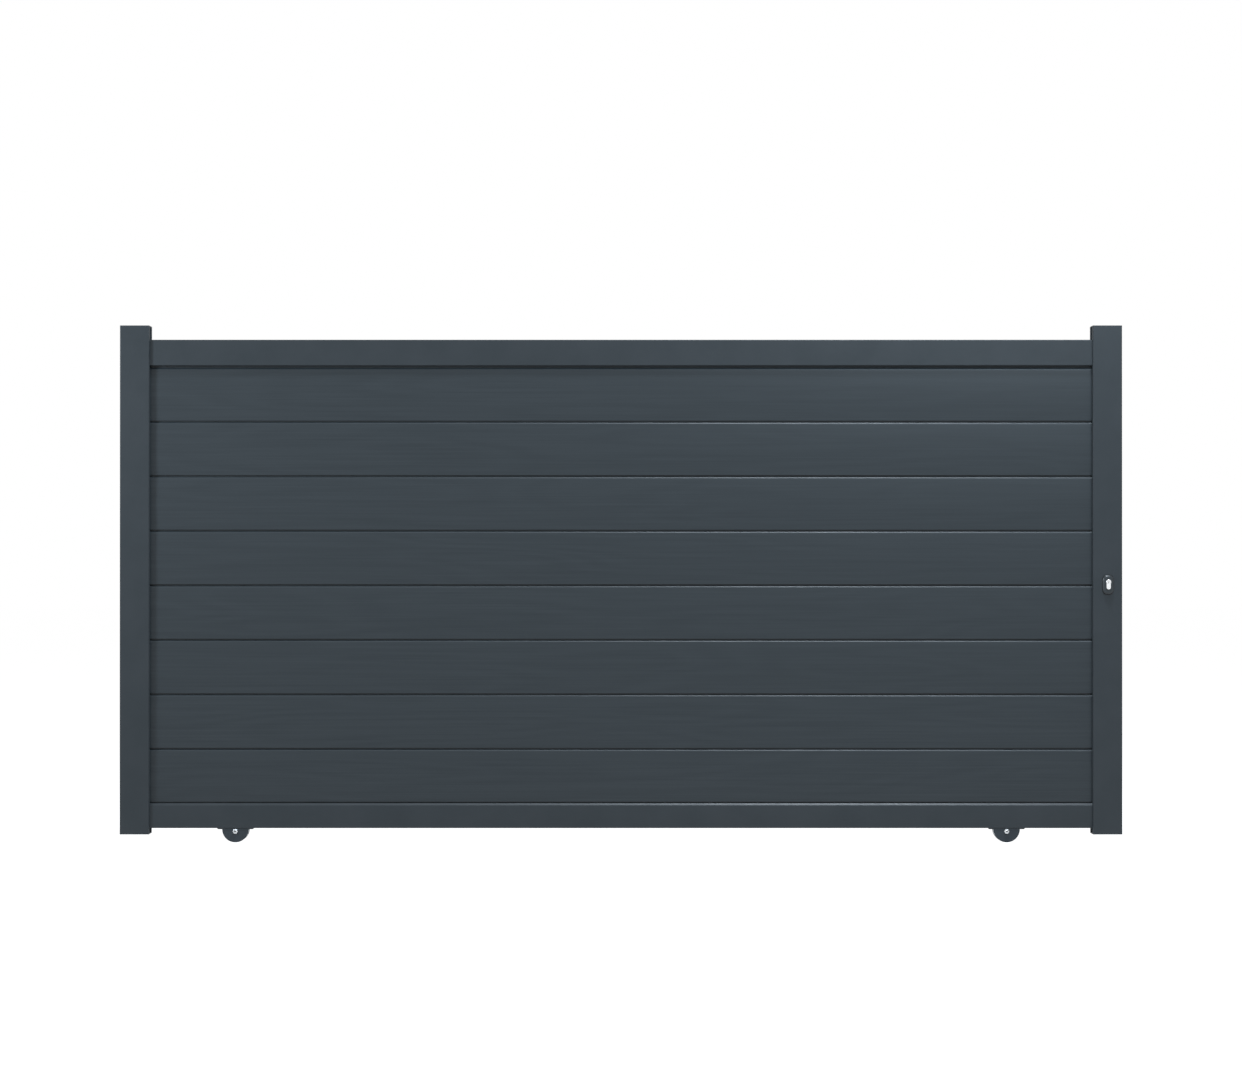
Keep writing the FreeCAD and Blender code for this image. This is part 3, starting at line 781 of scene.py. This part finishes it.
half = [(-RING_HALF, OUTER_RING_INNER), (-RING_HALF, BEARING_SEAT - RING_EASE),
        (RING_EASE - RING_HALF, BEARING_SEAT)]
outer_ring = half + flipped(half)
seal = [(-SEAL_HALF, OUTER_RING_INNER), (SEAL_DISH - SEAL_HALF, DISH_OUTER),
        (SEAL_DISH - SEAL_HALF, DISH_INNER), (-SEAL_HALF, SEAL_INNER),
        (SEAL_THICK - SEAL_HALF, SEAL_INNER), (SEAL_THICK - SEAL_HALF, OUTER_RING_INNER)]
half = [(-FORK_GAP, SLEEVE_INNER), (-FORK_GAP, SPACER_OUTER), (-RING_HALF, SPACER_OUTER),
        (-RING_HALF, SLEEVE_OUTER - RING_EASE), (RING_EASE - RING_HALF, SLEEVE_OUTER)]
sleeve = half + flipped(half)
for side, centre in axles.items():
    make_piece(side + "_bearing_outer_ring", turned(centre, outer_ring), "bright_steel",
               body=side + "_wheel_body")
    make_piece(side + "_bearing_seals", turned(centre, seal, flipped(seal)), "zinc_plated_steel",
               nitrile_rubber, body=side + "_wheel_body")
    make_piece(side + "_bearing_inner_ring_and_spacers", turned(centre, sleeve), "zinc_plated_steel")
print("gap between seal and inner ring:", round(SEAL_INNER - SLEEVE_OUTER, 1), "mm")

# %% [markdown]
# ## Axle bolts and lock nuts
# A hexagon bolt from the yard side carries each wheel, and a lock nut with a white nylon ring holds it on
# the street side. That nut is the one bright spot on each roller housing. A hexagon's corners are turned
# off to a cone, so the hexagon is a prism of six sides cut by tilted planes set round the axle. The
# thread's ridges are rings a thread's pitch apart, because a helix this fine looks the same. The centre
# hole in the bolt's end is painted nearly black, as painted shade inside the blind hole.

# %% Hexagons with turned-off corners
ACROSS_FLATS = 15.0
HEX_SIDES = 6
QUARTER_TURN = 90
CORNER_UP = 30
CORNER_CUT = 28
CONE_CUTS = 24
CONE_INSIDE = 0.2


def hexagon(centre, low_y, high_y, side):
    """A hexagonal prism along Y, its corners turned off at its street side (-1) or its yard side (1).

    It is cut at the origin and moved last, because far from there the cuts would be less exact.
    """
    bm = bmesh.new()
    corner = ACROSS_FLATS / math.sqrt(3)
    bmesh.ops.create_circle(bm, cap_ends=True, segments=HEX_SIDES, radius=corner * MM)
    for degrees, axis in ((QUARTER_TURN, "X"), (CORNER_UP, "Y")):
        turned_so = Matrix.Rotation(math.radians(degrees), 3, axis)
        bmesh.ops.rotate(bm, verts=bm.verts, cent=(0, 0, 0), matrix=turned_so)
    bmesh.ops.translate(bm, verts=bm.verts, vec=mm(0, low_y, 0))
    push(bm, bm.faces[:], mm(0, high_y - low_y, 0))
    slope = math.radians(CORNER_CUT)
    end = mm(0, low_y if side < 0 else high_y, 0)
    for turn in range(CONE_CUTS):
        angle = 2 * math.pi * (turn + 0.5) / CONE_CUTS
        outwards = Vector((math.cos(angle), 0, math.sin(angle)))
        place = end + outwards * (ACROSS_FLATS / 2 - CONE_INSIDE) * MM
        tilted = (outwards * math.sin(slope) + Vector((0, side * math.cos(slope), 0))).normalized()
        cut = bmesh.ops.bisect_plane(bm, geom=bm.verts[:] + bm.edges[:] + bm.faces[:], dist=EXACT,
                                     plane_co=place, plane_no=tilted, clear_outer=True)["geom_cut"]
        edges = [g for g in cut if isinstance(g, bmesh.types.BMEdge)]
        if edges:
            bmesh.ops.holes_fill(bm, edges=edges)
    bmesh.ops.translate(bm, verts=bm.verts, vec=centre)
    return bm


# %% Bolt and nut sizes, in millimetres
CHEEK_OUTER = 21.7
HEAD_HIGH = 6.4
HEAD_RISE = 0.4
HEAD_LAP = 1.0
WASHER_FACE = 7.2
SHANK = 5.0
BOLT_END = -31.2
END_CHAMFER = 1.0
THREAD_PITCH = 1.5
THREAD_DEPTH = 0.75
THREAD_LEAD = 1.5
CENTRE_HOLE = 3.0
CENTRE_DEEP = 3.0
DRILL_POINT = 0.7
NUT_TALL = 5.5
COLLAR_END = -29.8
COLLAR_OUTER = 7.0
COLLAR_INNER = 6.2
COLLAR_EASE = 0.5
NYLON_INNER = 5.1
NYLON_FREE = 0.02
NYLON_SUNK = 0.3


def thread(start, end):
    """The zigzag outline of a thread from one y to another, crest and root by turns."""
    points, y = [], start
    while y - THREAD_PITCH > end:
        points += [(y, SHANK), (y - THREAD_PITCH / 2, SHANK - THREAD_DEPTH)]
        y -= THREAD_PITCH
    return points + [(end + END_CHAMFER, SHANK), (end, SHANK - END_CHAMFER), (end, CENTRE_HOLE),
                     (end + CENTRE_DEEP, CENTRE_HOLE)]


def joined(bm, other):
    """Adds another bmesh's shape to this one. Only the first keeps its faces' materials."""
    spare = bpy.data.meshes.new("spare")
    other.to_mesh(spare)
    other.free()
    bm.from_mesh(spare)
    bpy.data.meshes.remove(spare)
    return bm


# %% Bolts
inside_head = CHEEK_OUTER + HEAD_RISE + HEAD_LAP
rod_section = [(inside_head, 0), (inside_head, WASHER_FACE), (CHEEK_OUTER, WASHER_FACE),
               (CHEEK_OUTER, SHANK)]
rod_section += thread(COLLAR_END + THREAD_LEAD, BOLT_END) + [(BOLT_END + CENTRE_DEEP + DRILL_POINT, 0)]
for side, centre in axles.items():
    rod = turned(centre, rod_section)
    for face in rod.faces:
        reach = max((v.co - centre).xz.length for v in face.verts)
        # Faces inside the centre hole take the second material, which is painted shade: nearly black.
        face.material_index = int(reach < CENTRE_HOLE * MM + TOUCH and face.verts[0].co.y < centre.y)
    head = hexagon(centre, CHEEK_OUTER + HEAD_RISE, CHEEK_OUTER + HEAD_HIGH, 1)
    piece = make_piece(side + "_axle_bolt_with_hexagon_head", joined(rod, head), "zinc_plated_steel",
                       stands_for=[side + "_axle_bolt"])
    piece.data.materials.append(painted_hole_shade)
print("bolt from y", BOLT_END, "to", CHEEK_OUTER + HEAD_HIGH, "mm")

# %% Nuts and nylon rings
nut_front = -CHEEK_OUTER - NUT_TALL
collar = [(nut_front + COLLAR_EASE, COLLAR_INNER), (nut_front + COLLAR_EASE, COLLAR_OUTER + COLLAR_EASE),
          (nut_front, COLLAR_OUTER), (COLLAR_END + COLLAR_EASE, COLLAR_OUTER),
          (COLLAR_END, COLLAR_OUTER - COLLAR_EASE), (COLLAR_END, COLLAR_INNER)]
ring_outer, ring_end = COLLAR_INNER - NYLON_FREE, COLLAR_END + NYLON_SUNK
ring = [(nut_front, NYLON_INNER), (nut_front, ring_outer), (ring_end, ring_outer), (ring_end, NYLON_INNER)]
for side, centre in axles.items():
    nut = hexagon(centre, nut_front, -CHEEK_OUTER, -1)
    make_piece(side + "_lock_nut", joined(nut, turned(centre, collar)), "zinc_plated_steel",
               stands_for=[side + "_axle_nut"])
    make_piece(side + "_nylon_locking_ring", turned(centre, ring), "zinc_plated_steel", white_nylon)
print("nut's collar ends at y", COLLAR_END, "mm")

# %% [markdown]
# ## The lock
# A cast escutcheon with a sloping rim guards each end of the lock cylinder. The cylinder's ends wear broad
# nickel-plated caps, so that they look like ovals with a waist. In the upper half of each turns the plug
# with the keyway, and a locking pin shows below it. Caps are outlines with holes, filled and extruded. The
# keyway is a blind hole, so its walls are pulled back from its outline and its floor is filled.

# %% Cylinder sizes, in millimetres
LOCK_X = -50.0
CYLINDER_LOW = 834.5
HEAD_Z = 859.0
HEAD_RADIUS = 8.5
BODY_LEG = 5.0
CAP_LEG = 7.4
CAP_HEAD = 8.8
CAP_HEAD_Z = 860.2
CAP_START = 52.0
CAP_END = 60.0
CAP_EASE = 0.6
PLUG_HOLE = 6.6
PLUG_RADIUS = 6.35
PLUG_END = 59.7
PIN_Z = 841.0
PIN_HOLE = 1.7
PIN_RADIUS = 1.5
PIN_END = 59.3
KEYWAY = [(-0.8, 3.6), (-0.8, 1.4), (-0.2, 0.9), (-0.2, -0.5), (-0.8, -1.0), (-0.8, -3.6),
          (0.8, -3.6), (0.8, -1.8), (1.0, -1.4), (1.0, 0.6), (0.8, 1.0), (0.8, 3.6)]
KEYWAY_DEEP = 3.0
PLUG_LAP = 1.0
ARC_STEPS = 16
RING_STEPS = 32
PIN_STEPS = 16

plug_centre = mm(LOCK_X, -PLUG_END, HEAD_Z)
print("cylinder", 2 * HEAD_RADIUS, "by", HEAD_Z + HEAD_RADIUS - CYLINDER_LOW, "mm")


# %% Outlines, blind holes and mirror pairs
def cylinder_outline(bm, y, leg, head=HEAD_RADIUS, head_z=HEAD_Z, ease=0.0):
    """The waisted outline of a lock cylinder: a round head over a round-ended leg. Returns its edges."""
    before = set(bm.edges)
    leg_z = CYLINDER_LOW + leg
    leg, head = leg + ease, head + ease
    drop = math.sqrt(head**2 - leg**2)
    start = bm.verts.new(mm(LOCK_X + leg, y, leg_z))
    left = swing(bm, start, mm(LOCK_X, y, leg_z), (0, 1, 0), 180, ARC_STEPS)
    waist = extend(bm, left, mm(LOCK_X - leg, y, head_z - drop))
    sweep = 360 - 2 * math.degrees(math.atan2(leg, drop))
    end = swing(bm, waist, mm(LOCK_X, y, head_z), (0, 1, 0), sweep, 2 * ARC_STEPS)
    bm.edges.new((end, start))
    return [e for e in bm.edges if e not in before]


def ring_outline(bm, centre, radius, axis=(0, 1, 0), segments=RING_STEPS):
    """A circle's edges about a centre, square to an axis."""
    made = bmesh.ops.create_circle(bm, cap_ends=False, segments=segments, radius=radius * MM)["verts"]
    turn = Vector((0, 0, 1)).rotation_difference(Vector(axis)).to_matrix()
    bmesh.ops.rotate(bm, verts=made, cent=(0, 0, 0), matrix=turn)
    bmesh.ops.translate(bm, verts=made, vec=centre)
    return list({e for v in made for e in v.link_edges})


def edges_at(bm, y):
    """The edges that lie at a depth in millimetres."""
    return [e for e in bm.edges if all(abs(v.co.y - y * MM) < NEAR for v in e.verts)]


def walled(bm, edges, vector):
    """Pulls walls from an outline's edges along a vector. Returns the edges at their far end."""
    made = bmesh.ops.extrude_edge_only(bm, edges=edges)["geom"]
    far = {g for g in made if isinstance(g, bmesh.types.BMVert)}
    bmesh.ops.translate(bm, verts=list(far), vec=vector)
    return [g for g in made if isinstance(g, bmesh.types.BMEdge) and far.issuperset(g.verts)]


def street_and_yard(bm):
    """Mirrors what was made on the street side to the yard side."""
    bmesh.ops.mirror(bm, geom=bm.verts[:] + bm.edges[:] + bm.faces[:], axis="Y", merge_dist=EXACT)


# %% Cylinder with its end caps
SHARP = 0.5

body = bmesh.new()
push(body, fill(body, cylinder_outline(body, -CAP_START, BODY_LEG)), mm(0, 2 * CAP_START, 0))
cap = bmesh.new()
edges = cylinder_outline(cap, -CAP_START, CAP_LEG, CAP_HEAD, CAP_HEAD_Z)
edges += ring_outline(cap, mm(LOCK_X, -CAP_START, HEAD_Z), PLUG_HOLE)
edges += ring_outline(cap, mm(LOCK_X, -CAP_START, PIN_Z), PIN_HOLE, segments=PIN_STEPS)
push(cap, fill(cap, edges), mm(0, CAP_START - CAP_END, 0))
cap.normal_update()
eased(cap, [e for e in edges_at(cap, -CAP_END) if e.calc_face_angle(0) > SHARP], CAP_EASE, 3)
street_and_yard(cap)
piece = make_piece("lock_cylinder_with_end_caps", joined(body, cap), "nickel", stands_for=["lock_cylinder"])
print("cylinder and caps:", len(piece.data.polygons), "faces")

# %% Plugs with their keyways, and locking pins
bm = bmesh.new()
disc = ring_outline(bm, plug_centre, PLUG_RADIUS)
keyway = loop(bm, *[plug_centre + mm(x, 0, z) for x, z in KEYWAY])
fill(bm, disc + keyway)
fill(bm, walled(bm, keyway, mm(0, KEYWAY_DEEP, 0)))
fill(bm, walled(bm, disc, mm(0, PLUG_END - CAP_START + PLUG_LAP, 0)))
# The keyway's walls and floor take the second material, which is painted shade: nearly black.
for face in bm.faces:
    behind_front = face.calc_center_median().y > plug_centre.y + NEAR
    inside_disc = max((v.co - plug_centre).xz.length for v in face.verts) < PLUG_RADIUS * MM - TOUCH
    face.material_index = int(behind_front and inside_disc)
pin = bmesh.new()
pin_face = fill(pin, ring_outline(pin, mm(LOCK_X, -PIN_END, PIN_Z), PIN_RADIUS, segments=PIN_STEPS))
push(pin, pin_face, mm(0, CAP_END - CAP_START, 0))
bm = joined(bm, pin)
street_and_yard(bm)
piece = make_piece("lock_plugs_and_pins", bm, "nickel")
piece.data.materials.append(painted_hole_shade)
print("plugs and pins:", len(piece.data.polygons), "faces")

# %% [markdown]
# ## The escutcheons
# An escutcheon is a rounded rectangle whose sloping rim comes from one inset with a depth. Its walls are
# pulled back to the stile from the outline and from the hole, and filled between. The hole is a touch
# tighter than the cylinder, so that no gap shows beside the caps. A thin black sheet behind each
# escutcheon, a little larger than it, is painted shade: its edge draws the dark line of shadow round it.

# %% Escutcheon sizes, in millimetres
ESCUTCHEON_HALF_WIDTH = 18.5
ESCUTCHEON_LOW = 818.25
ESCUTCHEON_HIGH = 883.75
ESCUTCHEON_CORNER = 16.0
CORNER_STEPS = 12
STILE_FACE = 40.0
RIM_START = 48.0
RIM_WIDE = 5.0
RIM_EDGE_EASE = 0.6
HOLE_GRIP = 0.3
# How far the black sheet of painted shade shows beyond the escutcheon, and how thick it is.
SHADOW_UNDERLAY_SHOWS = 1.8
SHADOW_UNDERLAY_THICK = 1.6


# %% Escutcheons
def rounded_face(bm, y, grown=0.0):
    """The escutcheon's outline as one face at a depth, grown all round by some millimetres."""
    half_width = ESCUTCHEON_HALF_WIDTH + grown
    around = corners(-half_width, half_width, ESCUTCHEON_LOW - grown, ESCUTCHEON_HIGH + grown)
    edges = loop(bm, *[mm(LOCK_X + x, y, z) for x, z in around])
    face = bmesh.ops.contextual_create(bm, geom=edges)["faces"][0]
    eased(bm, face.verts[:], ESCUTCHEON_CORNER + grown, CORNER_STEPS, affect="VERTICES")
    bm.normal_update()
    return bm.faces[:][0]


def escutcheon(side):
    """One escutcheon, on the street side (-1) or the yard side (1)."""
    bm = bmesh.new()
    face = rounded_face(bm, -RIM_START)
    if face.normal.y > 0:
        bmesh.ops.reverse_faces(bm, faces=[face])
    bmesh.ops.inset_region(bm, faces=[face], thickness=RIM_WIDE * MM, depth=(CAP_START - RIM_START) * MM,
                           use_boundary=True, use_even_offset=True)
    rim, outer = edges_at(bm, -CAP_START), edges_at(bm, -RIM_START)
    plateau = set(rim[0].link_faces) & set(rim[1].link_faces)
    bmesh.ops.delete(bm, geom=list(plateau), context="FACES_ONLY")
    hole = cylinder_outline(bm, -CAP_START, BODY_LEG, ease=-HOLE_GRIP)
    fill(bm, rim + hole)
    fill(bm, walled(bm, outer, mm(0, RIM_START - STILE_FACE, 0))
         + walled(bm, hole, mm(0, CAP_START - STILE_FACE, 0)))
    eased(bm, rim, RIM_EDGE_EASE, 2)
    if side > 0:
        bmesh.ops.scale(bm, verts=bm.verts, vec=(1, -1, 1))
    return bm


for name, side in (("front_escutcheon", -1), ("back_escutcheon", 1)):
    make_piece(name + "_cast", escutcheon(side), "coated_zinc", stands_for=[name])
# Painted shade: a thin black sheet grown a little beyond each escutcheon, whose edge stands for the shadow
# round it.
bm = bmesh.new()
push(bm, [rounded_face(bm, -STILE_FACE, grown=SHADOW_UNDERLAY_SHOWS)], mm(0, -SHADOW_UNDERLAY_THICK, 0))
street_and_yard(bm)
make_piece("escutcheon_shadow_underlays", bm, "cap_plastic", painted_shadow_nylon)
print("escutcheon", 2 * ESCUTCHEON_HALF_WIDTH, "by", ESCUTCHEON_HIGH - ESCUTCHEON_LOW, "mm")

# %% [markdown]
# ## The forend
# A brushed stainless plate, let into the closing face, carries the lock's case and shows the slot through
# which the hook bolt swings out. Two flush screws hold it. They sit in the plate, not on it, because
# nothing may stand proud of the closing face. The picture doesn't show this face, so it is the usual one.

# %% Forend and case sizes, in millimetres
FOREND_HALF_WIDTH = 12.0
FOREND_LOW = 728.5
FOREND_HIGH = 973.5
FOREND_THICK = 3.0
SLOT_HALF_WIDTH = 5.5
SLOT_LOW = 880.0
SLOT_HIGH = 926.0
SCREW_FROM_END = 11.0
SCREW_HOLE = 4.4
SCREW_HEAD = 4.25
SCREW_SUNK = 0.25
CASE_BACK = -70.0
CASE_LOW = 768.5
CASE_HIGH = 933.5
CASE_HALF = 8.0
CASE_WALL = 1.5
DRIVE_RADIUS = 2.0
DRIVE_DEEP = 1.8
SCREW_TALL = 2.8

screw_heights = (FOREND_LOW + SCREW_FROM_END, FOREND_HIGH - SCREW_FROM_END)
print("forend screws at", screw_heights)

# %% Forend with its slot
forend = bmesh.new()
around = corners(-FOREND_HALF_WIDTH, FOREND_HALF_WIDTH, FOREND_LOW, FOREND_HIGH)
edges = loop(forend, *[mm(0, y, z) for y, z in around])
before = set(forend.edges)
start = forend.verts.new(mm(0, SLOT_HALF_WIDTH, SLOT_LOW + SLOT_HALF_WIDTH))
last = swing(forend, start, mm(0, 0, SLOT_LOW + SLOT_HALF_WIDTH), (1, 0, 0), -180, ARC_STEPS)
last = extend(forend, last, mm(0, -SLOT_HALF_WIDTH, SLOT_HIGH - SLOT_HALF_WIDTH))
last = swing(forend, last, mm(0, 0, SLOT_HIGH - SLOT_HALF_WIDTH), (1, 0, 0), -180, ARC_STEPS)
forend.edges.new((last, start))
edges += [e for e in forend.edges if e not in before]
for z in screw_heights:
    edges += ring_outline(forend, mm(0, 0, z), SCREW_HOLE, (1, 0, 0))
push(forend, fill(forend, edges), mm(-FOREND_THICK, 0, 0))
print("slot", 2 * SLOT_HALF_WIDTH, "by", SLOT_HIGH - SLOT_LOW, "mm")

# %% Lock case
case = bmesh.new()
edges = []
for wall in (0.0, CASE_WALL):
    around = corners(CASE_BACK + wall, -FOREND_THICK - wall, CASE_LOW + wall, CASE_HIGH - wall)
    edges += loop(case, *[mm(x, -CASE_HALF, z) for x, z in around])
push(case, fill(case, edges), mm(0, 2 * CASE_HALF, 0))
piece = make_piece("lock_forend_and_case", joined(forend, case), "bright_steel", stands_for=["lock_case"])
print("forend and case:", len(piece.data.polygons), "faces")


# %% Forend screws
def add_screw(bm, place, outwards):
    """Adds a flat screw head with a hexagon socket, whose top lies at a place."""
    screw = bmesh.new()
    head = ring_outline(screw, place, SCREW_HEAD, outwards)
    socket = ring_outline(screw, place, DRIVE_RADIUS, outwards, HEX_SIDES)
    fill(screw, head + socket)
    fill(screw, walled(screw, socket, -outwards * DRIVE_DEEP * MM))
    fill(screw, walled(screw, head, -outwards * SCREW_TALL * MM))
    return joined(bm, screw)


bm = bmesh.new()
for z in screw_heights:
    bm = add_screw(bm, mm(-SCREW_SUNK, 0, z), Vector((1, 0, 0)))
piece = make_piece("forend_screws", bm, "bright_steel")
print("forend screws:", len(piece.data.polygons), "faces")

# %% [markdown]
# ## The brackets' screws
# Four screws hold each roller bracket under the bottom rail, and only someone who lies on the ground sees
# them. They are the forend's screws again, and stand a fraction of a millimetre below the flange, so that
# their rims catch a little light.

# %% Bracket screws
FLANGE_UNDERSIDE = -4.0
SCREW_PROUD = 0.3
SCREW_ALONG = 54.0
SCREW_ACROSS = 12.0

for side, centre in axles.items():
    bm = bmesh.new()
    for along in (-SCREW_ALONG, SCREW_ALONG):
        for across in (-SCREW_ACROSS, SCREW_ACROSS):
            place = Vector((centre.x, 0, 0)) + mm(along, across, FLANGE_UNDERSIDE - SCREW_PROUD)
            bm = add_screw(bm, place, Vector((0, 0, -1)))
    make_piece(side + "_bracket_screws", bm, "zinc_plated_steel")
print("bracket screws:", 4 * len(axles))

# %% Set the view transform, and print the solids' box
bpy.context.scene.view_settings.view_transform = "Standard"
print("cad box", cad_box)
